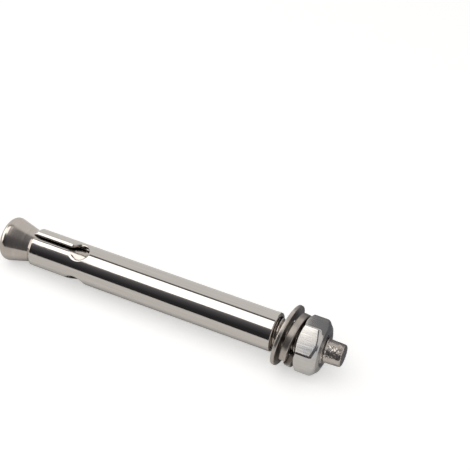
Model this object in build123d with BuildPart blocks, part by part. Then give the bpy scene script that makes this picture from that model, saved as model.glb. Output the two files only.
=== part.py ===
from build123d import *
from math import cos, degrees, radians, sin, tan
import os

os.makedirs("parts", exist_ok=True)

# An M8 sleeve anchor for a 12 mm hole, in millimetres.
# It stands on the flat end of its cone head. The bolt's axis is Z and the nut is at the top.

# Expansion sleeve, a tube cut into three petals at the cone end
sleeve_d = 10.0
sleeve_wall = 0.85
sleeve_l = 68.0
mouth_bevel_h = 0.9  # bevel outside the mouth, which leads the sleeve into the hole
mouth_bevel_w = 0.6
rear_edge_r = 0.35  # eased outer edge at the nut end
petal_count = 3
slot_w = 2.0
keyhole_d = 5.1  # round hole at the end of each slot
keyhole_from_mouth = 13.7
keyhole_throat_r = 1.0  # rounding where a slot opens into its hole
slot_angle = -94.0  # direction that one slot faces

# Cone bolt, which runs through the sleeve
head_overhang = 0.75  # widest circle of the cone head, outside the sleeve
head_rim_w = 0.85  # rounded rim, from the widest circle in to the flat end
head_rim_h = 1.5
head_land_h = 0.3  # short straight band at the widest circle
cone_half_angle = 15.2  # slope of the cone's side
cone_fit = 0.03  # gap between the cone's side and the lip of the sleeve's bore
thread_clearance = 0.25  # sleeve's bore beside the thread
thread_step = 0.35  # rolled thread outside the plain shank
thread_l = 35.0
thread_runout_l = 1.2  # taper from the shank up to the thread
stud_l = 4.7  # end of the bolt beyond the nut
point_l = 5.1  # unthreaded point beyond the thread
point_root_step = 0.95  # thread's end chamfer, in to the root of the point
point_root_h = 1.2
point_taper = 0.12  # point narrows by this much all round
point_edge_r = 0.5

# Flat washer
washer_bore_clearance = 0.6  # beside the thread
washer_w = 3.5  # ring across, from the bore to the rim
washer_t = 1.0
washer_edge_w = 0.2  # eased rim edges

# Spring washer, one left-hand turn that a tightened nut would flatten
spring_bore_clearance = 0.35
spring_w = 2.5  # section across
spring_t = 1.8  # section along the axis
spring_rise = 1.3  # rise of a full turn
spring_split_w = 0.9  # opening between the two cut ends
spring_split_angle = 58.5  # from the hinge line of the lean to its low end
spring_edge_w = 0.2  # eased edges of the section

# Hex nut
nut_across_flats = 12.75
nut_h = 6.0
nut_bore_clearance = 0.05  # beside the thread
nut_countersink = 0.5  # widens the bore at both faces
nut_face_inset = 0.15  # round face towards the washers, inside the flats
nut_chamfer_angle = 30.0
nut_end_inset = 0.35  # round face at the outer end, with a steeper chamfer round it
nut_end_chamfer_angle = 50.0
nut_corner_r = 0.5
nut_angle = -4.0  # direction that one of its flats faces

# The loose washers lean the same way in the play between the sleeve and the nut.
washer_play = 1.55  # sleeve's end to the nearest edge of the flat washer
spring_play = 0.7  # flat washer to the nearest edge of the spring washer
nut_seat_gap = 0.05  # spring washer to the nut
washer_lean = 7.0
spring_lean = 5.7
lean_towards = 33.0  # side that hangs lowest
washer_hang = 0.3  # flat washer off the bolt's axis, away from its low side

# Radii, all from the sleeve's diameter outwards and inwards
sleeve_r = sleeve_d / 2
bore_r = sleeve_r - sleeve_wall
thread_r = bore_r - thread_clearance
shank_r = thread_r - thread_step
point_root_r = thread_r - point_root_step
head_r = sleeve_r + head_overhang
washer_bore_r = thread_r + washer_bore_clearance
spring_mid_r = thread_r + spring_bore_clearance + spring_w / 2
spring_r = spring_mid_r + spring_w / 2
nut_bore_r = thread_r + nut_bore_clearance
nut_face_r = nut_across_flats / 2 - nut_face_inset

# Heights, from the head's flat end up to the end of the sleeve
cone_slope = tan(radians(cone_half_angle))
cone_z = head_rim_h + head_land_h
mouth_z = cone_z + (head_r - bore_r + cone_fit) / cone_slope
neck_z = cone_z + (head_r - shank_r) / cone_slope
sleeve_top_z = mouth_z + sleeve_l

# Each washer lies in a plane of its own, centred on the bolt's axis, and both hang low on one side.
low_side = Vector(1, 0, 0).rotate(Axis.Z, lean_towards)
hinge_line = low_side.cross(Vector(0, 0, 1))
washer_cos, washer_tan = cos(radians(washer_lean)), tan(radians(washer_lean))
spring_cos, spring_sin = cos(radians(spring_lean)), sin(radians(spring_lean))
washer_mid_z = sleeve_top_z + washer_play + sleeve_r * washer_tan + washer_t / 2 / washer_cos
coil_turn = 360 - degrees(spring_split_w / spring_mid_r)
coil_rise = spring_rise * coil_turn / 360
coil_steps = range(int(coil_turn))


def towards_low_side(turned):
    """Share of a radius that points to the low side, turned degrees along the spring washer."""
    return sin(radians(spring_split_angle - turned))


def washer_top_z(turned):
    """Height of the flat washer's upper face under the spring washer's outer edge."""
    return washer_mid_z + washer_t / 2 / washer_cos - spring_r * towards_low_side(turned) * washer_tan


def spring_edge_h(turned, radius, side):
    """Height of the spring washer over its middle, on its upper side (1) or its lower side (-1)."""
    above_plane = spring_rise * turned / 360 - coil_rise / 2 + side * spring_t / 2
    return above_plane * spring_cos - radius * towards_low_side(turned) * spring_sin


# The spring washer clears the flat one by its play, and the nut seats on its highest point.
spring_mid_z = spring_play + max(
    washer_top_z(turned) - spring_edge_h(turned, spring_r, -1) for turned in coil_steps
)
nut_seat_r = min(spring_r, nut_face_r)
nut_z = spring_mid_z + nut_seat_gap + max(
    spring_edge_h(turned, nut_seat_r, 1) for turned in coil_steps
)
bolt_l = nut_z + nut_h + stud_l
thread_top_z = bolt_l - point_l
thread_bottom_z = thread_top_z - thread_l


def leaning_plane(lean, mid_z):
    """Plane of a washer that leans by this angle, with its middle at this height."""
    normal = low_side * sin(radians(lean)) + Vector(0, 0, cos(radians(lean)))
    return Plane(origin=(0, 0, mid_z), x_dir=hinge_line, z_dir=normal)


# Cone bolt: one turned profile from the flat end of the head to the tip of the point
with BuildPart() as cone_bolt:
    with BuildSketch(Plane.XZ):
        with BuildLine():
            flat_end = Line((0, 0), (head_r - head_rim_w, 0))
            land = Line((head_r, head_rim_h), (head_r, cone_z))
            TangentArc(land @ 0, flat_end @ 1, tangent=(0, -1))
            Polyline(
                land @ 1,
                (shank_r, neck_z),
                (shank_r, thread_bottom_z - thread_runout_l),
                (thread_r, thread_bottom_z),
                (thread_r, thread_top_z),
                (point_root_r, thread_top_z + point_root_h),
                (point_root_r - point_taper, bolt_l),
                (0, bolt_l),
                (0, 0),
            )
        make_face()
    revolve(axis=Axis.Z)
    tip_edge = cone_bolt.edges().filter_by(GeomType.CIRCLE).sort_by(Axis.Z)[-1]
    fillet(tip_edge, radius=point_edge_r)
cone_bolt.part.label = "cone_bolt"
export_step(cone_bolt.part, "parts/cone_bolt.step")

# Expansion sleeve: a tube, bevelled at the mouth, with a keyhole slot between each pair of petals
with BuildPart() as expansion_sleeve:
    with BuildSketch(Plane.XY.offset(mouth_z)):
        Circle(sleeve_r)
        Circle(bore_r, mode=Mode.SUBTRACT)
    extrude(amount=sleeve_l)
    outer_edges = (
        expansion_sleeve.edges()
        .filter_by(GeomType.CIRCLE)
        .filter_by(lambda edge: edge.radius > bore_r + sleeve_wall / 2)
        .sort_by(Axis.Z)
    )
    chamfer(outer_edges[0], length=mouth_bevel_h, length2=mouth_bevel_w)
    fillet(outer_edges[-1], radius=rear_edge_r)
    slot_planes = []
    for slot in range(petal_count):
        out_of_slot = Vector(1, 0, 0).rotate(Axis.Z, slot_angle + slot * 360 / petal_count)
        across_slot = Vector(0, 0, 1).cross(out_of_slot)
        slot_planes.append(Plane(origin=(0, 0, mouth_z), x_dir=across_slot, z_dir=out_of_slot))
    with BuildSketch(*slot_planes) as keyhole:
        with Locations((0, keyhole_from_mouth / 2)):
            Rectangle(slot_w, keyhole_from_mouth)
        with Locations((0, keyhole_from_mouth)):
            Circle(keyhole_d / 2)
        fillet(keyhole.vertices().group_by(Axis.Y)[-1], radius=keyhole_throat_r)
    extrude(amount=sleeve_d, mode=Mode.SUBTRACT)
expansion_sleeve.part.label = "expansion_sleeve"
export_step(expansion_sleeve.part, "parts/expansion_sleeve.step")

# Flat washer: a ring off the bolt's axis by its hang, with both rim edges eased
with BuildPart() as flat_washer:
    with BuildSketch(leaning_plane(washer_lean, washer_mid_z)):
        with Locations((0, -washer_hang)):
            Circle(washer_bore_r + washer_w)
            Circle(washer_bore_r, mode=Mode.SUBTRACT)
    extrude(amount=washer_t / 2, both=True)
    rings = flat_washer.edges().filter_by(GeomType.CIRCLE).sort_by(lambda edge: edge.radius)
    chamfer(rings[2:], length=washer_edge_w)
flat_washer.part.label = "flat_washer"
export_step(flat_washer.part, "parts/flat_washer.step")

# Spring washer: one turn of a blocky section, swept upright from its low cut end up to its high
# one, then turned to bring the split to its place and laid in the leaning plane
with BuildPart() as upright_turn:
    with BuildLine() as coil:
        Helix(pitch=spring_rise, height=coil_rise, radius=spring_mid_r, lefthand=True)
    with BuildSketch(Plane(origin=coil.line @ 0, x_dir=(1, 0, 0), z_dir=coil.line % 0)) as section:
        Rectangle(spring_w, spring_t)
        chamfer(section.vertices(), length=spring_edge_w)
    sweep(path=coil.line, is_frenet=True)
spring_plane = leaning_plane(spring_lean, spring_mid_z)
with BuildPart() as spring_washer:
    with Locations(spring_plane.location * Location((0, 0, -coil_rise / 2), (0, 0, spring_split_angle))):
        add(upright_turn.part)
spring_washer.part.label = "spring_washer"
export_step(spring_washer.part, "parts/spring_washer.step")

# Hex nut: chamfered round both faces, with the bore countersunk at both ends
nut_end_r = nut_across_flats / 2 - nut_end_inset
nut_tip_r = nut_across_flats / 2 / cos(radians(30))
nut_chamfer_h = (nut_tip_r - nut_face_r) * tan(radians(nut_chamfer_angle))
nut_end_chamfer_h = (nut_tip_r - nut_end_r) * tan(radians(nut_end_chamfer_angle))
with BuildPart() as hex_nut:
    with BuildSketch(Plane.XY.offset(nut_z)) as hexagon:
        RegularPolygon(nut_across_flats / 2, 6, major_radius=False, rotation=nut_angle + 30)
        fillet(hexagon.vertices(), radius=nut_corner_r)
        Circle(nut_bore_r, mode=Mode.SUBTRACT)
    extrude(amount=nut_h)
    with BuildSketch(Plane.XZ):
        with BuildLine():
            Polyline(
                (0, nut_z),
                (nut_face_r, nut_z),
                (nut_tip_r, nut_z + nut_chamfer_h),
                (nut_tip_r, nut_z + nut_h - nut_end_chamfer_h),
                (nut_end_r, nut_z + nut_h),
                (0, nut_z + nut_h),
                close=True,
            )
        make_face()
    revolve(axis=Axis.Z, mode=Mode.INTERSECT)
    bore_rings = hex_nut.edges().filter_by(GeomType.CIRCLE).sort_by(lambda edge: edge.radius)[:2]
    chamfer(bore_rings, length=nut_countersink)
hex_nut.part.label = "hex_nut"
export_step(hex_nut.part, "parts/hex_nut.step")
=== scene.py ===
from math import acos, atan, atan2, cos, pi, radians, sin, sqrt, tan

import bpy
import numpy as np
from mathutils import Matrix, Vector


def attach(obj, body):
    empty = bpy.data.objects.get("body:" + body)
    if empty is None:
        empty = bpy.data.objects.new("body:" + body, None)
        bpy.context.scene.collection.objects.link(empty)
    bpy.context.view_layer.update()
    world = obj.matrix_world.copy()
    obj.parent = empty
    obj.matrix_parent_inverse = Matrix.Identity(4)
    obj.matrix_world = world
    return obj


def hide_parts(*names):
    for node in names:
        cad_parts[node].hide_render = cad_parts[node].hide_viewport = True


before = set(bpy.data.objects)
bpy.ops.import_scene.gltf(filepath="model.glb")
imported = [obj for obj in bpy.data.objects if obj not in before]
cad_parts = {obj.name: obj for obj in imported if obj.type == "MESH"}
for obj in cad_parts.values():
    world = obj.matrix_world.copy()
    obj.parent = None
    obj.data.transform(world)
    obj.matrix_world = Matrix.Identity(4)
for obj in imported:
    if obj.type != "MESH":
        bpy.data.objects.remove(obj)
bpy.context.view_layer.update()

MM = 0.001

# Sizes of the anchor in millimetres, in the frame: it stands on its head, with the nut at the top.
# Angles are in degrees.

# Cone bolt
HEAD_R, HEAD_FACE_R, RIM_H, CONE_Z = 5.75, 4.9, 1.5, 1.8
CONE_SLOPE = tan(radians(15.2))
SHANK_R, THREAD_R, THREAD_DEPTH, PITCH = 3.55, 3.9, 0.62, 1.25
CREST_SHARE, FLANKS_SHARE = 0.16, 0.62  # of the pitch; the rest is root
THREAD_BOTTOM, THREAD_TOP, BOLT_L = 53.163, 88.163, 93.263
RUN_IN, RUN_IN_L = 1.0, 2.2  # the thread starts this far below its bottom, and rises over the length
RUN_OUT, RUN_OUT_L = 1.2, 1.5  # and the same past its top, where it falls to the point
POINT_R, POINT_TIP_R, TIP_EDGE_R = 2.95, 2.83, 0.5
BOLT_COLUMNS = 120

# Sleeve. Heights in a slot are over the mouth
BORE_R, SLEEVE_R, WALL, MOUTH_Z, SLEEVE_TOP_Z = 4.15, 5.0, 0.85, 7.799, 75.799
BEVEL_W, BEVEL_H, BEVEL_BLEND = 0.6, 0.9, 0.12
TOP_EDGE_R, TOP_BORE_EDGE_R = 0.35, 0.1
TUBE_COLUMNS = 120
SLOT_HALF_W, HOLE_R, HOLE_Z, THROAT_R = 0.88, 2.45, 13.7, 1.0
SLOT_ANGLES = (-94.0, 26.0, 146.0)
HALF_THIRD = 60.0  # from a slot's middle to the edge of its third of the sleeve
SLOTTED_L = 18.0  # length from the mouth that holds the slots
INNER_EDGE_R = 0.08

# The punch has drawn the outer edges of a slot in, one of them more. A rolled edge is a line of slopes,
# from the surface in, and of the lengths between them, up to the slot's wall
SHALLOW_ROLL, STEEP_ROLL = 0.3, 1.1  # share of the even slopes on the two edges
EVEN_SLOPES = np.array((0, 7, 14, 21, 28, 35, 35))
EVEN_LENGTHS = np.array((0.08, 0.08, 0.08, 0.1, 0.11, 0.17, 0.03, 0.035, 0.035))
STEEP_SLOPES = np.array((0, 10, 14, 18, 22, 26, 30))
STEEP_LENGTHS = np.array((0.05, 0.08, 0.12, 0.14, 0.16, 0.2, 0.03, 0.035, 0.035))
STEEP_SHIFT = 3.5  # how far the steep edge is set into the slot for each unit of roll over 1
ALIKE_Z = 11.0  # from here to the top of the hole the two edges become alike

# Flat washer and spring washer
LEAN_TOWARDS = 33.0
WASHER_MID_Z, WASHER_LEAN, WASHER_BORE_R, WASHER_R, WASHER_T = 78.467, 7.0, 4.5, 8.0, 1.0
WASHER_HANG = 0.3  # its bore rests on the thread
WASHER_EDGES = (0.12, 0.26, 0.26, 0.12)
WASHER_COLUMNS = 144
SPRING_MID_Z, SPRING_LEAN, SPRING_MID_R, SPRING_W, SPRING_T = 81.061, 5.7, 5.5, 2.5, 1.8
SPRING_TURN, SPRING_RISE, SPRING_SPLIT = 350.624, 1.3, 58.5
SPRING_EDGES = (0.22, 0.3, 0.3, 0.22)
SPRING_STEPS = 150

# Nut. Heights in its profile are over its lower face
NUT_Z, NUT_H, NUT_ANGLE, FLAT_R, NUT_CORNER_R = 82.563, 6.0, -4.0, 6.375, 0.85
NUT_BORE_R, BORE_CHAMFER_W, BORE_CHAMFER_H = THREAD_R + 0.1, 0.45, 0.5
LOW_FACE_R, LOW_CHAMFER_Z = 6.2, 0.087  # the lower chamfer's inner edge, and its height at the flats
FLAT_END_Z, FLAT_END_DROP = 4.84, 0.33  # where the flats end, and how much lower towards the corners
DOME = ((6.16, 5.36), (5.85, 5.64), (4.9, NUT_H))  # radius and height along the rolled upper end
NUT_EDGES = (0, 0.05, 0.12, 0.15, 1.3, 0.2, 0.3, 0.3, 0.06, 0)
NUT_THREAD_LOW, NUT_THREAD_HIGH, NUT_RUN_IN_L = 0.54, NUT_H - 0.55, 0.4
CORNER_ZONE = 5.0  # columns stand closer together this near to a corner


# Meshes

def add_piece(name, verts, faces, body, node, material, normals=None):
    """Adds a shaded mesh in the frame from points in millimetres, which replaces a node. Where no normal
    is given, it leans to the larger faces, so that flats stay flat beside narrow rounded edges."""
    verts = np.asarray(verts, float)
    known = np.full((len(verts), 3), np.nan) if normals is None else np.asarray(normals, float)
    mesh = bpy.data.meshes.new(name)
    mesh.from_pydata([tuple(v) for v in verts * MM], [], turned_out(verts, faces, known))
    mesh.shade_smooth()
    mesh.materials.append(material)
    weighed = weighed_normals(mesh)
    missing = np.isnan(known[:, 0])
    known[missing] = weighed[missing]
    mesh.normals_split_custom_set_from_vertices([tuple(n) for n in known])
    obj = bpy.data.objects.new(name, mesh)
    bpy.context.scene.collection.objects.link(obj)
    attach(obj, body)
    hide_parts(node)


def turned_out(verts, faces, normals):
    """The faces, each turned to the side that its given normals point to."""
    turned_faces = []
    for face in faces:
        p = verts[list(face)]
        if len(face) == 3:
            across = np.cross(p[1] - p[0], p[2] - p[0])
        else:
            across = np.cross(p[2] - p[0], p[-1] - p[1])
        agreement = across @ normals[list(face)].sum(axis=0)
        turned_faces.append(tuple(reversed(face)) if agreement < 0 else tuple(face))
    return turned_faces


def weighed_normals(mesh):
    """Normals at the points of a mesh, weighed by the areas of the faces round them."""
    areas, flat = np.zeros(len(mesh.polygons)), np.zeros(len(mesh.polygons) * 3)
    mesh.polygons.foreach_get("area", areas)
    mesh.polygons.foreach_get("normal", flat)
    corners, totals = np.zeros(len(mesh.loops), int), np.zeros(len(mesh.polygons), int)
    mesh.loops.foreach_get("vertex_index", corners)
    mesh.polygons.foreach_get("loop_total", totals)
    normals = np.zeros((len(mesh.vertices), 3))
    np.add.at(normals, corners, np.repeat(flat.reshape(-1, 3) * areas[:, None], totals, axis=0))
    return normals / np.maximum(np.linalg.norm(normals, axis=1), 1e-20)[:, None]


def grid_faces(rows, columns, wrap_rows=False, wrap_columns=True, first=0):
    """Quads between the points of a grid, row by row."""
    faces = []
    for i in range(rows if wrap_rows else rows - 1):
        for j in range(columns if wrap_columns else columns - 1):
            a, b = i * columns + j, i * columns + (j + 1) % columns
            c, d = (i + 1) % rows * columns + (j + 1) % columns, (i + 1) % rows * columns + j
            faces.append((first + a, first + b, first + c, first + d))
    return faces


def round_corners(points, radii, steps, closed=False):
    """A line of points with its corners rounded by their radii, each in some steps."""
    rounded = []
    count = len(points)
    for i, (p, r) in enumerate(zip(points, radii)):
        p = np.array(p, float)
        if r <= 0 or (not closed and i in (0, count - 1)):
            rounded.append(p)
            continue
        a, b = np.array(points[i - 1], float) - p, np.array(points[(i + 1) % count], float) - p
        a, b = a / np.linalg.norm(a), b / np.linalg.norm(b)
        half = acos(max(-1.0, min(1.0, float(a @ b)))) / 2
        reach, middle = r / tan(half), p + (a + b) / np.linalg.norm(a + b) * r / sin(half)
        start, end = p + a * reach - middle, p + b * reach - middle
        turn = atan2(start[0] * end[1] - start[1] * end[0], float(start @ end))
        for k in range(steps + 1):
            t = turn * k / steps
            spoke = (start[0] * cos(t) - start[1] * sin(t), start[0] * sin(t) + start[1] * cos(t))
            rounded.append(middle + np.array(spoke))
    return np.array(rounded)


def ring(r, z, angles):
    return [(r * cos(a), r * sin(a), z) for a in angles]


def lathe(profile, turns, start=0.0):
    """Rows of points around Z for a profile of (radius, height)."""
    angles = radians(start) + np.arange(turns) * 2 * pi / turns
    return np.array([ring(r, z, angles) for r, z in profile]).reshape(-1, 3)


def leaned(points, mid_z, lean):
    """Points given about a level middle, laid in the plane of a leaning washer."""
    towards, lean = radians(LEAN_TOWARDS), radians(lean)
    normal = Vector((cos(towards) * sin(lean), sin(towards) * sin(lean), cos(lean)))
    hinge = Vector((sin(towards), -cos(towards), 0.0))
    axes = np.array(Matrix((hinge, normal.cross(hinge), normal)))
    return np.asarray(points) @ axes + np.array((0, 0, mid_z))


def smooth_step(share):
    share = min(1.0, max(0.0, share))
    return share * share * (3 - 2 * share)


def thread_cut(angle, z):
    """How far the right-hand thread is cut at a place, from 0 on its crest to 1 in its root. Bolt and nut
    share it, so that the nut's thread runs between the bolt's."""
    phase = (z / PITCH - angle / (2 * pi)) % 1.0
    return smooth_step((abs(phase * 2 - 1) - CREST_SHARE) / FLANKS_SHARE)


# Materials

TINT = 0.06  # how much lighter and darker the streaks are
STAIN_SCALE = 160.0
STREAK_DEPTH, LUMP_DEPTH = 0.0001, 0.0003  # metres
SMOOTHEST = 0.02


def new_material(name):
    material = bpy.data.materials.new(name)
    material.use_nodes = True
    return material, material.node_tree.nodes, material.node_tree.links


def math_node(nodes, links, operation, first, second):
    node = nodes.new("ShaderNodeMath")
    node.operation = operation
    for value, socket in zip((first, second), node.inputs):
        if isinstance(value, (int, float)):
            socket.default_value = value
        else:
            links.new(value, socket)
    return node.outputs[0]


def noise(nodes, links, vector, scale, detail):
    node = nodes.new("ShaderNodeTexNoise")
    node.inputs["Scale"].default_value = scale
    node.inputs["Detail"].default_value = detail
    links.new(vector, node.inputs["Vector"])
    return node.outputs["Fac"]


def map_range(nodes, links, value, start, end, low, high):
    """Goes from low to high while the value goes from start to end."""
    node = nodes.new("ShaderNodeMapRange")
    node.inputs["From Min"].default_value = start
    node.inputs["From Max"].default_value = end
    node.inputs["To Min"].default_value = low
    node.inputs["To Max"].default_value = high
    links.new(value, node.inputs["Value"])
    return node.outputs["Result"]


def bump(nodes, links, height, strength, depth):
    node = nodes.new("ShaderNodeBump")
    node.inputs["Strength"].default_value = strength
    node.inputs["Distance"].default_value = depth
    links.new(height, node.inputs["Height"])
    return node


def steel(name, colour, roughness, stretch, streak_scale, streak_bump, rough_spread=0.06,
          stain=(0.5, 0.45, 0.4), stain_share=0.0):
    """Bare steel: streaks along one direction in colour, roughness and bump, and soft cloudy tarnish."""
    material, nodes, links = new_material(name)
    shader = nodes["Principled BSDF"]
    shader.inputs["Metallic"].default_value = 1.0
    place = nodes.new("ShaderNodeTexCoord")
    mapping = nodes.new("ShaderNodeMapping")
    mapping.inputs["Scale"].default_value = stretch
    links.new(place.outputs["Object"], mapping.inputs["Vector"])
    streaks = noise(nodes, links, mapping.outputs["Vector"], streak_scale, 4.0)
    clouds = noise(nodes, links, place.outputs["Object"], STAIN_SCALE, 3.0)
    ramp = nodes.new("ShaderNodeValToRGB")
    ramp.color_ramp.elements[0].position = 0.3
    ramp.color_ramp.elements[1].position = 0.75
    ramp.color_ramp.elements[0].color = (*[c * (1 - TINT) for c in colour], 1)
    ramp.color_ramp.elements[1].color = (*[min(1, c * (1 + TINT)) for c in colour], 1)
    links.new(streaks, ramp.inputs["Fac"])
    stained = nodes.new("ShaderNodeMix")
    stained.data_type = "RGBA"
    stained.inputs[7].default_value = (*stain, 1)
    links.new(map_range(nodes, links, clouds, 0.45, 0.7, 0.0, stain_share), stained.inputs[0])
    links.new(ramp.outputs["Color"], stained.inputs[6])
    links.new(stained.outputs[2], shader.inputs["Base Color"])
    mixed = nodes.new("ShaderNodeMix")
    mixed.data_type = "FLOAT"
    mixed.inputs[0].default_value = 0.5
    links.new(streaks, mixed.inputs[2])
    links.new(clouds, mixed.inputs[3])
    smoothest, roughest = max(SMOOTHEST, roughness - rough_spread), roughness + rough_spread
    rough = map_range(nodes, links, mixed.outputs[0], 0.3, 0.7, smoothest, roughest)
    links.new(rough, shader.inputs["Roughness"])
    streaky = bump(nodes, links, streaks, streak_bump, STREAK_DEPTH)
    links.new(streaky.outputs["Normal"], shader.inputs["Normal"])
    return material


def lumpy_zone(material, full_z, none_z, scale, strength, duller):
    """Makes one end of a piece lumpy and duller, fading out between two heights in metres."""
    nodes, links = material.node_tree.nodes, material.node_tree.links
    shader = nodes["Principled BSDF"]
    place = nodes.new("ShaderNodeTexCoord")
    split = nodes.new("ShaderNodeSeparateXYZ")
    links.new(place.outputs["Object"], split.inputs[0])
    share = map_range(nodes, links, split.outputs["Z"], none_z, full_z, 0.0, 1.0)
    lumps = noise(nodes, links, place.outputs["Object"], scale, 2.0)
    height = math_node(nodes, links, "MULTIPLY", lumps, share)
    lumpy = bump(nodes, links, height, strength, LUMP_DEPTH)
    links.new(shader.inputs["Normal"].links[0].from_socket, lumpy.inputs["Normal"])
    links.new(lumpy.outputs["Normal"], shader.inputs["Normal"])
    added = math_node(nodes, links, "MULTIPLY", share, duller)
    rough = math_node(nodes, links, "ADD", shader.inputs["Roughness"].links[0].from_socket, added)
    links.new(rough, shader.inputs["Roughness"])


turned = steel("turned_steel", (0.455, 0.415, 0.375), 0.16, (0.25, 0.25, 5.0), 420.0, 0.12,
               stain=(0.3, 0.24, 0.2), stain_share=0.4)
polished = steel("polished_steel", (0.49, 0.46, 0.425), 0.07, (4.0, 4.0, 0.12), 700.0, 0.02,
                 rough_spread=0.03)
pressed = steel("pressed_steel", (0.45, 0.415, 0.38), 0.3, (1.0, 1.0, 1.0), 900.0, 0.1,
                stain=(0.3, 0.25, 0.21), stain_share=0.4)
sprung = steel("spring_steel", (0.4, 0.36, 0.325), 0.32, (1.0, 1.0, 2.0), 900.0, 0.12,
               stain=(0.3, 0.26, 0.22), stain_share=0.4)
brushed = steel("nut_steel", (0.5, 0.475, 0.445), 0.14, (1.6, 1.6, 0.12), 900.0, 0.1,
                stain=(0.33, 0.35, 0.39), stain_share=0.65)
lumpy_zone(turned, 0.0888, 0.0880, 1100.0, 0.8, 0.08)  # the point, as the thread rolling left it
lumpy_zone(polished, 0.0105, 0.0150, 1500.0, 0.06, 0.03)  # scuffed petals at the mouth


# Cone bolt: head, shank, rolled thread and point, turned about Z

def head_profile():
    """From the flat end of the head, over its rounded rim, up the cone and the plain shank."""
    neck_z = CONE_Z + (HEAD_R - SHANK_R) / CONE_SLOPE
    rim_w = HEAD_R - HEAD_FACE_R
    arc_r = (RIM_H * RIM_H + rim_w * rim_w) / (2 * rim_w)
    span = 2 * atan2(rim_w, RIM_H)
    face = [(0.02, 0.0), (2.0, 0.0), (4.0, 0.0), (4.6, 0.0), (HEAD_FACE_R - 0.1, 0.015)]
    rim = [(HEAD_R - arc_r * (1 - cos(t)), RIM_H - arc_r * sin(t)) for t in np.linspace(span, 0, 13)]
    cone = [(HEAD_R, CONE_Z - 0.12), (HEAD_R - 0.02, CONE_Z + 0.02)]
    cone += [(HEAD_R - (z - CONE_Z) * CONE_SLOPE, z) for z in np.linspace(CONE_Z, neck_z, 10)[1:-1]]
    neck = [(SHANK_R + 0.1, neck_z - 0.25), (SHANK_R + 0.02, neck_z + 0.1), (SHANK_R, neck_z + 0.6)]
    shank = [(SHANK_R, z) for z in np.linspace(neck_z + 5, THREAD_BOTTOM - 1.2, 8)]
    return face + rim + cone + neck + shank


def thread_rows(angles):
    """Rows along the thread, further apart where the sleeve hides it."""
    coarse = np.arange(THREAD_BOTTOM - RUN_IN, SLEEVE_TOP_Z - 1.0, PITCH / 8)
    fine = np.arange(coarse[-1] + PITCH / 8, THREAD_TOP + 1.25, PITCH / 20)
    rows = []
    for z in np.concatenate([coarse, fine]):
        start = min(1.0, max(0.0, (z - THREAD_BOTTOM + RUN_IN) / RUN_IN_L))
        end = min(1.0, max(0.0, (THREAD_TOP + RUN_OUT - z) / RUN_OUT_L))
        row = []
        for a in angles:
            r = SHANK_R + (THREAD_R - SHANK_R) * start - THREAD_DEPTH * thread_cut(a, z) * start
            r = POINT_R + (r - POINT_R) * end
            row.append((r * cos(a), r * sin(a), z))
        rows.append(row)
    return rows


def point_profile():
    """The short unthreaded point, to the middle of its tip."""
    taper = [(POINT_R - 0.01, THREAD_TOP + 1.3), (POINT_TIP_R + 0.06, BOLT_L - 1.9),
             (POINT_TIP_R + 0.02, BOLT_L - 0.6)]
    edge = [(POINT_TIP_R - TIP_EDGE_R + TIP_EDGE_R * cos(t), BOLT_L - TIP_EDGE_R + TIP_EDGE_R * sin(t))
            for t in np.linspace(0.05, pi / 2, 7)]
    return taper + edge + [(1.8, BOLT_L), (0.9, BOLT_L), (0.02, BOLT_L)]


def bolt_mesh():
    angles = np.arange(BOLT_COLUMNS) * 2 * pi / BOLT_COLUMNS
    rows = [ring(r, z, angles) for r, z in head_profile()]
    rows += thread_rows(angles)
    rows += [ring(r, z, angles) for r, z in point_profile()]
    faces = grid_faces(len(rows), BOLT_COLUMNS)
    faces.append(tuple(reversed(range(BOLT_COLUMNS))))
    faces.append(tuple(range((len(rows) - 1) * BOLT_COLUMNS, len(rows) * BOLT_COLUMNS)))
    return np.array(rows).reshape(-1, 3), faces


bolt_verts, bolt_faces = bolt_mesh()
add_piece("bolt_turned", bolt_verts, bolt_faces, "bolt", "cone_bolt", turned)


# Expansion sleeve: round each slot a sheet of quads follows the slot's outline, on the outer and the
# inner surface, and a plain tube goes on from there

STRAIGHT_HEIGHTS = (0, 0.1, 0.3, 0.5, 0.7, 0.78, 0.84, 0.9, 0.96, 1.02, 1.1,
                    1.5, 2.5, 3.5, 4.5, 5.5, 6.5, 7.5, 8.5, 9.5, 10.2)
HOLE_CORNER = 39.0  # direction in the hole that looks to the upper corner of the sheet
TOP_STEPS = 20  # from that corner to the middle of the hole's top
SHEET_STEPS = 12


def keyhole_outline():
    """Right half of a slot's outline: points (x, z over the mouth), the directions away from the
    opening, and the places (angle, z) on the edge of the sheet that they look to."""
    drop = sqrt((HOLE_R + THROAT_R) ** 2 - (SLOT_HALF_W + THROAT_R) ** 2)
    throat_z, meet = HOLE_Z - drop, atan2(-drop, SLOT_HALF_W + THROAT_R)
    points, away, ends = [], [], []
    for z in STRAIGHT_HEIGHTS:
        points.append((SLOT_HALF_W, z))
        away.append((1.0, 0.0))
        ends.append((HALF_THIRD, z))
    for t in np.linspace(pi, pi + meet, 9):
        points.append((SLOT_HALF_W + THROAT_R + THROAT_R * cos(t), throat_z + THROAT_R * sin(t)))
        away.append((-cos(t), -sin(t)))
        ends.append((HALF_THIRD, points[-1][1]))
    low, corner, high = ends[-1][1], radians(HOLE_CORNER), SLOTTED_L
    round_hole = list(np.linspace(meet, corner, 24)[1:])
    ends += [(HALF_THIRD, low + (high - low) * (t - meet) / (corner - meet)) for t in round_hole]
    for k in range(1, TOP_STEPS + 1):
        round_hole.append(corner + (pi / 2 - corner) * k / TOP_STEPS)
        ends.append((HALF_THIRD - HALF_THIRD / TOP_STEPS * k, high))
    points += [(HOLE_R * cos(t), HOLE_Z + HOLE_R * sin(t)) for t in round_hole]
    away += [(cos(t), sin(t)) for t in round_hole]
    return points, away, ends


def outer_radius(z):
    """Radius of the sleeve at a height over its bevelled mouth."""
    return SLEEVE_R - BEVEL_W * max(0.0, 1 - z / BEVEL_H)


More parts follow.
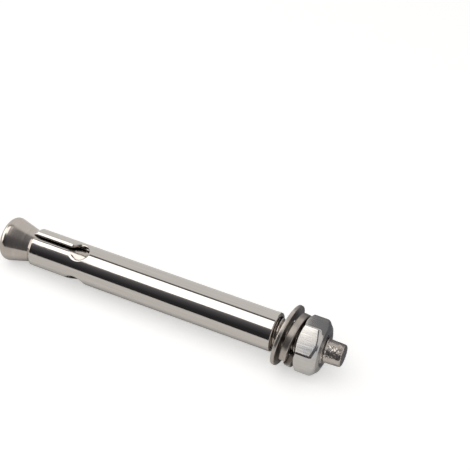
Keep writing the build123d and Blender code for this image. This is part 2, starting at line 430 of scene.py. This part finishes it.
def tube_place(angle, z, outer):
    """Point and normal of the tube's surface, with x across the slot and y out of it."""
    x, y = sin(angle), cos(angle)
    if not outer:
        return np.array((BORE_R * x, BORE_R * y, z)), np.array((-x, -y, 0.0))
    r = outer_radius(z)
    tilt = atan(BEVEL_W / BEVEL_H) * smooth_step((BEVEL_H + BEVEL_BLEND / 2 - z) / BEVEL_BLEND)
    return np.array((r * x, r * y, z)), np.array((x * cos(tilt), y * cos(tilt), -sin(tilt)))


def edge_profile(outer, steepness):
    """From the surface in to the wall of a slot: distances from the wall, depths and slopes. An inner
    edge is just rounded. An outer one is rolled in, and from a steepness of 1 to the steep edge's the
    even slopes go over into the steep ones."""
    if not outer:
        slopes = np.radians(np.linspace(0, 90, 4))
        return [(INNER_EDGE_R * (1 - sin(t)), INNER_EDGE_R * (1 - cos(t)), t) for t in slopes]
    steep = min(1.0, max(0.0, (steepness - 1.0) / (STEEP_ROLL - 1.0)))
    roll = steepness * EVEN_SLOPES * (1 - steep) + STEEP_SLOPES * steep
    lengths = EVEN_LENGTHS * (1 - steep) + STEEP_LENGTHS * steep
    slopes = np.radians((*roll, roll[-1] + 15, 70, 90))
    middles = (slopes[:-1] + slopes[1:]) / 2
    run = np.concatenate([[0], np.cumsum(np.cos(middles) * lengths)])
    fall = np.concatenate([[0], np.cumsum(np.sin(middles) * lengths)])
    return [(run[-1] - x, depth, slope) for x, depth, slope in zip(run, fall, slopes)]


def keyhole_row(point, away, end, outer, steepness):
    """Points and normals from the slot's wall, over its eased edge, to the edge of the sheet."""
    (x, z), (end_angle, end_z) = point, end
    outer_r = outer_radius(z)
    edge, normal = tube_place(np.arcsin(x / (outer_r if outer else BORE_R)), z, outer)
    wall = np.array((-away[0], 0.0, -away[1]))
    outwards = (wall @ normal) * normal - wall
    outwards /= np.linalg.norm(outwards)
    down = np.array((0.0, -1.0 if outer else 1.0, 0.0))
    along = np.cross(normal, wall)
    side = 1 if np.cross(-outwards, along) @ normal > 0 else -1
    thin = min(1.0, (outer_r - BORE_R) / WALL)
    points, normals = [], []
    for distance, depth, slope in reversed(edge_profile(outer, steepness)):
        n = side * np.cross(down * sin(slope) - outwards * cos(slope), along)
        points.append(edge + (outwards * distance + down * depth) * thin)
        normals.append(n / np.linalg.norm(n))
    start = points.pop()
    normals.pop()
    start_angle, start_z = atan2(start[0], start[1]), max(0.0, start[2])
    for k in range(SHEET_STEPS + 1):
        angle = start_angle + (radians(end_angle) - start_angle) * k / SHEET_STEPS
        p, n = tube_place(angle, start_z + (end_z - start_z) * k / SHEET_STEPS, outer)
        points.append(p)
        normals.append(n)
    return points, normals


def half_row(place, outer, steepness):
    """A row of one half of a slot. Towards the top of the hole both halves roll in alike."""
    (x, z), away, end = place
    share = smooth_step((z - ALIKE_Z) / (HOLE_Z + HOLE_R - ALIKE_Z))
    x -= max(0.0, steepness - 1) * STEEP_SHIFT * (1 - share)
    points, normals = keyhole_row((x, z), away, end, outer, steepness + (1 - steepness) * share)
    return np.array(points), np.array(normals)


def slotted_sheets(direction):
    """All surfaces of a third of the sleeve round one slot."""
    outline = list(zip(*keyhole_outline()))
    mirror = np.array((-1.0, 1.0, 1.0))
    verts, normals, faces, grids = [], [], [], []
    for outer in (True, False):
        shallow = [half_row(place, outer, SHALLOW_ROLL) for place in outline]
        steep = [half_row(place, outer, STEEP_ROLL) for place in outline[:-1]]
        rows = shallow + [(p * mirror, n * mirror) for p, n in reversed(steep)]
        columns = len(rows[0][0])
        first = len(verts)
        for p, n in rows:
            verts.extend(p)
            normals.extend(n)
        faces += grid_faces(len(rows), columns, wrap_columns=False, first=first)
        grids.append((first, len(rows), columns))
    (outer_first, count, outer_columns), (inner_first, _, inner_columns) = grids

    # The slot's wall between the two surfaces
    for i in range(count - 1):
        a, b = outer_first + i * outer_columns, inner_first + i * inner_columns
        faces.append((a, a + outer_columns, b + inner_columns, b))

    # The flat mouth on either side of the slot, where the outer row has some more points
    spare = outer_columns - inner_columns
    for row in (0, count - 1):
        strip = len(verts)
        outer_row = [outer_first + row * outer_columns + j for j in range(outer_columns)]
        inner_row = [inner_first + row * inner_columns + max(0, j - spare) for j in range(outer_columns)]
        for place in outer_row + inner_row:
            verts.append(verts[place])
            normals.append(np.array((0.0, 0.0, -1.0)))
        for j in range(outer_columns - 1):
            quad = (strip + j, strip + j + 1, strip + outer_columns + j + 1, strip + outer_columns + j)
            faces.append(quad if j >= spare else quad[:3])

    out = np.array((cos(radians(direction)), sin(radians(direction)), 0.0))
    turn = np.array(((-out[1], out[0], 0.0), out, (0.0, 0.0, 1.0)))
    return np.array(verts) @ turn + np.array((0, 0, MOUTH_Z)), np.array(normals) @ turn, faces


def sleeve_mesh():
    all_verts, all_normals, faces, first = [], [], [], 0
    for direction in SLOT_ANGLES:
        verts, normals, local = slotted_sheets(direction)
        all_verts.append(verts)
        all_normals.append(normals)
        faces += [tuple(first + i for i in face) for face in local]
        first += len(verts)
    low, high = MOUTH_Z + SLOTTED_L, SLEEVE_TOP_Z
    line = [(SLEEVE_R, low), (SLEEVE_R, low + 20), (SLEEVE_R, high),
            (BORE_R, high), (BORE_R, high - 20), (BORE_R, low)]
    profile = round_corners(line, [0, 0, TOP_EDGE_R, TOP_BORE_EDGE_R, 0, 0], 6)
    rows = lathe(profile, TUBE_COLUMNS, SLOT_ANGLES[0])
    all_verts.append(rows)
    all_normals.append(np.full(rows.shape, np.nan))
    faces += [tuple(reversed(face)) for face in grid_faces(len(profile), TUBE_COLUMNS, first=first)]
    return np.concatenate(all_verts), np.concatenate(all_normals), faces


sleeve_verts, sleeve_normals, sleeve_faces = sleeve_mesh()
add_piece("sleeve_tube", sleeve_verts, sleeve_faces, "sleeve", "expansion_sleeve",
          polished, sleeve_normals)


# Flat washer and spring washer, leaning

def flat_washer_mesh():
    half = WASHER_T / 2
    line = [(WASHER_BORE_R, -half), (WASHER_R, -half), (WASHER_R, half), (WASHER_BORE_R, half)]
    profile = round_corners(line, WASHER_EDGES, 6, closed=True)
    verts = lathe(profile, WASHER_COLUMNS) + np.array((0, -WASHER_HANG, 0))
    faces = grid_faces(len(profile), WASHER_COLUMNS, wrap_rows=True)
    return leaned(verts, WASHER_MID_Z, WASHER_LEAN), faces


def spring_washer_mesh():
    """One left-hand turn of a rounded block section, with plain cut ends."""
    w, t = SPRING_W / 2, SPRING_T / 2
    section = round_corners([(-w, -t), (w, -t), (w, t), (-w, t)], SPRING_EDGES, 6, closed=True)
    verts = []
    for k in range(SPRING_STEPS + 1):
        turn = SPRING_TURN * k / SPRING_STEPS
        a = radians(SPRING_SPLIT - turn)
        height = SPRING_RISE * (turn - SPRING_TURN / 2) / 360
        verts += [((SPRING_MID_R + p) * cos(a), (SPRING_MID_R + p) * sin(a), height + q)
                  for p, q in section]
    count = len(section)
    faces = grid_faces(SPRING_STEPS + 1, count)
    for row in (0, SPRING_STEPS):
        first = len(verts)
        verts += verts[row * count:(row + 1) * count]
        face = range(first, first + count)
        faces.append(tuple(face) if row else tuple(reversed(face)))
    return leaned(verts, SPRING_MID_Z, SPRING_LEAN), faces


washer_verts, washer_faces = flat_washer_mesh()
add_piece("washer_pressed", washer_verts, washer_faces, "sleeve", "flat_washer", pressed)
spring_verts, spring_faces = spring_washer_mesh()
add_piece("washer_coiled", spring_verts, spring_faces, "sleeve", "spring_washer", sprung)


# Hex nut: a profile for each direction round the axis, with the thread cut inside in step with the bolt's

def nut_columns():
    """Directions round the nut, closer together at its rounded corners, with the distance to its side."""
    half_side = radians(30.0)
    corner = half_side - atan2(FLAT_R * tan(half_side) - NUT_CORNER_R * tan(half_side), FLAT_R)
    centre_r = (FLAT_R - NUT_CORNER_R) / cos(half_side)
    flat_end = 30.0 - CORNER_ZONE
    directions = (*np.linspace(-30.0, -flat_end, 7)[:-1], *np.linspace(-flat_end, flat_end, 17),
                  *np.linspace(flat_end, 30.0, 7)[1:-1])
    columns = []
    for side in range(6):
        for direction in directions:
            a = radians(direction)
            r = FLAT_R / cos(a)
            from_corner = half_side - abs(a)
            if from_corner < corner:
                across = centre_r * sin(from_corner)
                r = centre_r * cos(from_corner) + sqrt(NUT_CORNER_R ** 2 - across ** 2)
            columns.append((a + radians(NUT_ANGLE + 60.0 * side), r))
    return columns


def nut_mesh():
    columns = nut_columns()
    face_r = NUT_BORE_R + BORE_CHAMFER_W
    bore_top = NUT_H - BORE_CHAMFER_H
    thread_z = np.arange(NUT_THREAD_HIGH, NUT_THREAD_LOW, -PITCH / 16)
    verts = []
    for a, r in columns:
        chamfer_z = LOW_CHAMFER_Z + (r - FLAT_R) * tan(radians(30.0))
        flat_end_z = FLAT_END_Z - (r - FLAT_R) * FLAT_END_DROP
        line = [(NUT_BORE_R, BORE_CHAMFER_H), (face_r, 0.0), (LOW_FACE_R, 0.0), (r, chamfer_z),
                (r, flat_end_z), *DOME, (face_r, NUT_H), (NUT_BORE_R, bore_top)]
        profile = round_corners(line, NUT_EDGES, 5)
        column = [(p * cos(a), p * sin(a), NUT_Z + q) for p, q in profile]
        for q in thread_z:
            z = NUT_Z + q
            full = min(1.0, (q - BORE_CHAMFER_H) / NUT_RUN_IN_L, (bore_top - q) / NUT_RUN_IN_L)
            inner = NUT_BORE_R - THREAD_DEPTH * thread_cut(a, z) * full
            column.append((inner * cos(a), inner * sin(a), z))
        verts.append(column)
    count = len(verts[0])
    return np.array(verts).reshape(-1, 3), grid_faces(len(columns), count, wrap_rows=True)


nut_verts, nut_faces = nut_mesh()
add_piece("nut_forged", nut_verts, nut_faces, "nut", "hex_nut", brushed)


# Floor, lamps and camera stand as for the photo, where the anchor lies on its head and washer. In that
# lying view x runs along the anchor, y to its far side and z up, and the anchor is rolled by 7.5 degrees.

ROLL_COS, ROLL_SIN = 0.99144, 0.13053
LYING = Matrix(((0, -ROLL_COS, -ROLL_SIN, 0), (0, ROLL_SIN, -ROLL_COS, 0), (1, 0, 0, 0.0004), (0, 0, 0, 1)))
HEAD_REST_X, HEAD_REST_R = 1.25, 5.79  # the floor is this far below the axis at the head
REST_SPAN, WASHER_REST_R = 77.2, 7.93  # and this far at the washer


def lying(x, y, z):
    return LYING @ Vector((x * MM, y * MM, z * MM))


def floor_height(x):
    return -(HEAD_REST_R + (x - HEAD_REST_X) * (WASHER_REST_R - HEAD_REST_R) / REST_SPAN)


def stage_mesh(name, verts, faces, material):
    mesh = bpy.data.meshes.new(name)
    mesh.from_pydata([tuple(v) for v in verts], [], faces)
    mesh.materials.append(material)
    obj = bpy.data.objects.new(name, mesh)
    bpy.context.scene.collection.objects.link(obj)
    return obj


def mirrored_ray(nodes, links):
    """The light path node, and 1 for glossy and transmission rays."""
    path = nodes.new("ShaderNodeLightPath")
    glossy, transmission = path.outputs["Is Glossy Ray"], path.outputs["Is Transmission Ray"]
    return path, math_node(nodes, links, "MAXIMUM", glossy, transmission)


# Floor. Metres from the anchor's middle between which the lift for mirrors comes in, so that a painted shade
# lies under the anchor in what the steel mirrors, and the two lifts
LIFT_START, LIFT_FULL = 0.003, 0.010
MIRROR_LIFT, CAMERA_LIFT = 0.36, 0.48
FLOOR_LOW_X, FLOOR_HIGH_X, FLOOR_HALF_Y = -500.0, 590.0, 500.0


def floor_material():
    """Pale floor that keeps the shadow, lifted to white for the camera and for what the steel mirrors,
    but not close under the anchor, where the steel mirrors a painted shade. From behind it isn't seen."""
    material, nodes, links = new_material("floor")
    nodes.clear()
    output = nodes.new("ShaderNodeOutputMaterial")
    matte = nodes.new("ShaderNodeBsdfDiffuse")
    matte.inputs["Color"].default_value = (0.8, 0.795, 0.785, 1)
    lift = nodes.new("ShaderNodeEmission")
    lift.inputs["Color"].default_value = (1, 0.995, 0.985, 1)
    path, mirrored = mirrored_ray(nodes, links)
    place = nodes.new("ShaderNodeTexCoord")
    aside = nodes.new("ShaderNodeVectorMath")
    aside.operation = "DOT_PRODUCT"
    aside.inputs[1].default_value = (-ROLL_COS, ROLL_SIN, 0.0)
    links.new(place.outputs["Object"], aside.inputs[0])
    distance = math_node(nodes, links, "ABSOLUTE", aside.outputs["Value"], 0.0)
    # Near the anchor the lift for mirrors fades to nothing, which paints a shade under the anchor into the
    # steel's reflections
    mirror_lift_past_painted_shade = map_range(nodes, links, distance, LIFT_START, LIFT_FULL, 0.0, MIRROR_LIFT)
    for_mirrors = math_node(nodes, links, "MULTIPLY", mirrored, mirror_lift_past_painted_shade)
    for_camera = math_node(nodes, links, "MULTIPLY", path.outputs["Is Camera Ray"], CAMERA_LIFT)
    links.new(math_node(nodes, links, "ADD", for_mirrors, for_camera), lift.inputs["Strength"])
    add = nodes.new("ShaderNodeAddShader")
    links.new(matte.outputs[0], add.inputs[0])
    links.new(lift.outputs[0], add.inputs[1])
    clear = nodes.new("ShaderNodeBsdfTransparent")
    side = nodes.new("ShaderNodeNewGeometry")
    mix = nodes.new("ShaderNodeMixShader")
    links.new(side.outputs["Backfacing"], mix.inputs[0])
    links.new(add.outputs[0], mix.inputs[1])
    links.new(clear.outputs[0], mix.inputs[2])
    links.new(mix.outputs[0], output.inputs["Surface"])
    return material


floor_corners = [(FLOOR_LOW_X, -FLOOR_HALF_Y), (FLOOR_HIGH_X, -FLOOR_HALF_Y),
                 (FLOOR_HIGH_X, FLOOR_HALF_Y), (FLOOR_LOW_X, FLOOR_HALF_Y)]
stage_mesh("floor", [lying(x, y, floor_height(x)) for x, y in floor_corners], [(0, 1, 2, 3)],
           floor_material())


# Cards and softboxes, which only the steel mirrors

def card_material():
    """Glows by the amount painted on the mesh."""
    material, nodes, links = new_material("studio_card")
    nodes.clear()
    output = nodes.new("ShaderNodeOutputMaterial")
    glow = nodes.new("ShaderNodeEmission")
    painted = nodes.new("ShaderNodeAttribute")
    painted.attribute_name = "glow"
    links.new(painted.outputs["Color"], glow.inputs["Color"])
    links.new(glow.outputs[0], output.inputs["Surface"])
    return material


COOLEST, COOL_BELOW = 0.12, 0.5  # dim parts are bluer, by up to a share, below a level of glow
card = card_material()


def add_card(name, verts, faces, values):
    """A card with the glow at each of its points, seen by reflections alone."""
    obj = stage_mesh(name, verts, faces, card)
    layer = obj.data.color_attributes.new("glow", "FLOAT_COLOR", "POINT")
    blue = [1.0 + COOLEST * max(0.0, 1 - v / COOL_BELOW) for v in values]
    layer.data.foreach_set("color", np.array([(v, v, v * b, 1.0) for v, b in zip(values, blue)]).ravel())
    obj.visible_camera = False
    obj.visible_diffuse = False
    obj.visible_shadow = False


def lerp(value, places, levels):
    return float(np.interp(value, places, levels))


# Studio sheet curved about the anchor: dark low on the near side, a softbox above with a thin dark edge
# behind it, and a dark gap beyond the softbox's right end. Its points lie closer at the edges
SHEET_R = 600.0
SHEET_ANGLES = np.concatenate([np.arange(-8, 57, 1.0), np.arange(57, 66, 0.25), np.arange(66, 102, 3.0),
                               np.arange(102, 120.1, 0.25)])
SHEET_X = np.array((-900, -600, -450, -330, -240, -215, -160, -110, -70, -42, -34, -24, -14, -5,
                    20, 60, 120, 180, 220, 260, 300, 400, 900.0))
BOX_EDGE_BLEND = 1.6


def sheet_glow(x, angle):
    """Glow of the sheet at a place along the anchor and an angle round it, which is 0 on the near side
    and 90 above."""
    low_edge = lerp(x, (-282.0, -200.0, -100.0, 0.0), (3.0, 1.5, -5.0, -7.0))
    if angle < low_edge:
        return 1.0
    box_edge = lerp(x, (-240.0, -215.0, -110.0, -40.0), (65.0, 58.5, 59.8, 59.4))
    dark = lerp(angle - box_edge, (-60.0, -40.0, -20.0, -12.0, -7.0, -1.6), (0.03, 0.04, 0.1, 0.15, 0.2, 0.3))
    box = lerp(x, (-34.0, -14.0), (2.6, 1.0))
    in_gap = lerp(x, (-30.0, -5.0, 200.0, 290.0), (0.0, 1.0, 1.0, 0.0))
    gap = lerp(angle, (-6.0, 30.0, 104.0, 112.0), (0.16, 0.14, 0.26, 1.0))
    if angle < box_edge + BOX_EDGE_BLEND / 2:
        share = smooth_step((angle - box_edge + BOX_EDGE_BLEND / 2) / BOX_EDGE_BLEND)
        glow = dark + (box - dark) * share
    else:
        glow = lerp(angle, (106.2, 107.8, 115.5, 119.0), (box, 0.12, 0.17, 1.0))
    return glow + (gap - glow) * in_gap


add_card("studio_sheet",
         [lying(x, -SHEET_R * cos(radians(a)), SHEET_R * sin(radians(a)))
          for a in SHEET_ANGLES for x in SHEET_X],
         grid_faces(len(SHEET_ANGLES), len(SHEET_X), wrap_columns=False),
         [sheet_glow(x, a) for a in SHEET_ANGLES for x in SHEET_X])

# Dim card on the floor and beyond it on the far side of the nut, where the next anchor lies in the photo
DIM_FLOOR, DIM_UPRIGHT = 0.16, 0.3
dim_floor = [(1.0, -7.6), (14.0, -7.6), (30.0, -7.6), (60.0, -7.6)]
dim_upright = [(60 * cos(radians(a)), 60 * sin(radians(a))) for a in range(0, 33, 4)]
add_card("dim_card",
         [lying(x, y, z) for y, z in dim_floor + dim_upright for x in (70.0, 250.0)],
         grid_faces(len(dim_floor + dim_upright), 2, wrap_columns=False),
         [DIM_FLOOR] * 2 * len(dim_floor) + [DIM_UPRIGHT] * 2 * len(dim_upright))

# Dark card low on the near side, which draws the dark band of the sleeve's nut end down a little
LOW_GLOW, OVER_FLOOR = 0.05, 0.3
low_corners = ((-204.0, -600.0), (-26.0, -215.0), (36.0, -107.0), (56.0, -85.0), (110.0, -85.0),
               (110.0, -600.0))
add_card("low_card", [lying(x, y, floor_height(x) + OVER_FLOOR) for x, y in low_corners],
         [tuple(range(len(low_corners)))], [LOW_GLOW] * len(low_corners))

# Softbox beyond the head, its height leaning to the near side
SOFTBOX_X, SOFTBOX_LEAN, SOFTBOX_GLOW = -600.0, radians(53.0), 3.0
box_height = Vector((0, -cos(SOFTBOX_LEAN), sin(SOFTBOX_LEAN)))
box_width = Vector((0, sin(SOFTBOX_LEAN), cos(SOFTBOX_LEAN)))
box_corners = [box_height * u + box_width * v for u in (-25.0, 520.0) for v in (-300.0, 300.0)]
add_card("head_softbox", [lying(SOFTBOX_X, *corner[1:]) for corner in box_corners], [(0, 1, 3, 2)],
         [SOFTBOX_GLOW] * 4)


# Lamp over the anchor, for the light and soft shadow on the floor

LAMP_GLOW = 1.0  # of its surface, from which the energy follows
lamp = bpy.data.lights.new("overhead", "AREA")
lamp.shape = "RECTANGLE"
lamp.size, lamp.size_y = 0.9, 0.5
lamp.energy = LAMP_GLOW * pi * lamp.size * lamp.size_y
lamp_obj = bpy.data.objects.new("overhead", lamp)
bpy.context.scene.collection.objects.link(lamp_obj)
lamp_obj.visible_glossy = False
lamp_place = lying(45.0, -60.0, 420.0)
lamp_back = (lamp_place - lying(45.0, 0, 0)).normalized()
lamp_along = (lying(1, 0, 0) - lying(0, 0, 0)).normalized()
lamp_axes = Matrix((lamp_along, lamp_back.cross(lamp_along), lamp_back))
lamp_obj.matrix_world = lamp_axes.transposed().to_4x4()
lamp_obj.matrix_world.translation = lamp_place


# World: a soft light for matte surfaces, and white for the camera and what the steel mirrors

world = bpy.data.worlds.new("studio")
bpy.context.scene.world = world
world.use_nodes = True
sky_nodes, sky_links = world.node_tree.nodes, world.node_tree.links
sky_nodes.clear()
sky_output = sky_nodes.new("ShaderNodeOutputWorld")
soft_sky = sky_nodes.new("ShaderNodeBackground")
soft_sky.inputs["Color"].default_value = (0.32, 0.32, 0.32, 1)
seen_sky = sky_nodes.new("ShaderNodeBackground")
seen_sky.inputs["Color"].default_value = (1, 1, 1, 1)
sky_mix = sky_nodes.new("ShaderNodeMixShader")
sky_path, sky_mirrored = mirrored_ray(sky_nodes, sky_links)
seen = math_node(sky_nodes, sky_links, "MAXIMUM", sky_path.outputs["Is Camera Ray"], sky_mirrored)
sky_links.new(seen, sky_mix.inputs[0])
sky_links.new(soft_sky.outputs[0], sky_mix.inputs[1])
sky_links.new(seen_sky.outputs[0], sky_mix.inputs[2])
sky_links.new(sky_mix.outputs[0], sky_output.inputs["Surface"])


# Camera, 25 degrees off square to the anchor and 47 degrees above it

CAMERA_AZIMUTH, CAMERA_ELEVATION, CAMERA_DISTANCE = radians(24.85), radians(46.83), 313.86
AIM_X, AIM_UP = 64.15, 20.28  # the picture's middle, along the anchor and up across the view
FOCAL_PIXELS, PICTURE_PIXELS, SENSOR_W = 1276.81, 470, 36.0
view_back = Vector((sin(CAMERA_AZIMUTH) * cos(CAMERA_ELEVATION),
                    -cos(CAMERA_AZIMUTH) * cos(CAMERA_ELEVATION), sin(CAMERA_ELEVATION)))
view_right = Vector((cos(CAMERA_AZIMUTH), sin(CAMERA_AZIMUTH), 0))
view_up = view_back.cross(view_right)
camera = bpy.data.cameras.new("camera")
camera.sensor_width = SENSOR_W
camera.lens = FOCAL_PIXELS / PICTURE_PIXELS * SENSOR_W
camera.clip_start, camera.clip_end = 0.01, 10.0
camera_obj = bpy.data.objects.new("camera", camera)
bpy.context.scene.collection.objects.link(camera_obj)
camera_pose = Matrix((view_right, view_up, view_back)).transposed().to_4x4()
camera_pose.translation = (Vector((AIM_X, 0, 0)) + view_up * AIM_UP + view_back * CAMERA_DISTANCE) * MM
camera_obj.matrix_world = LYING @ camera_pose
bpy.context.scene.camera = camera_obj
bpy.context.scene.view_settings.view_transform = "Standard"
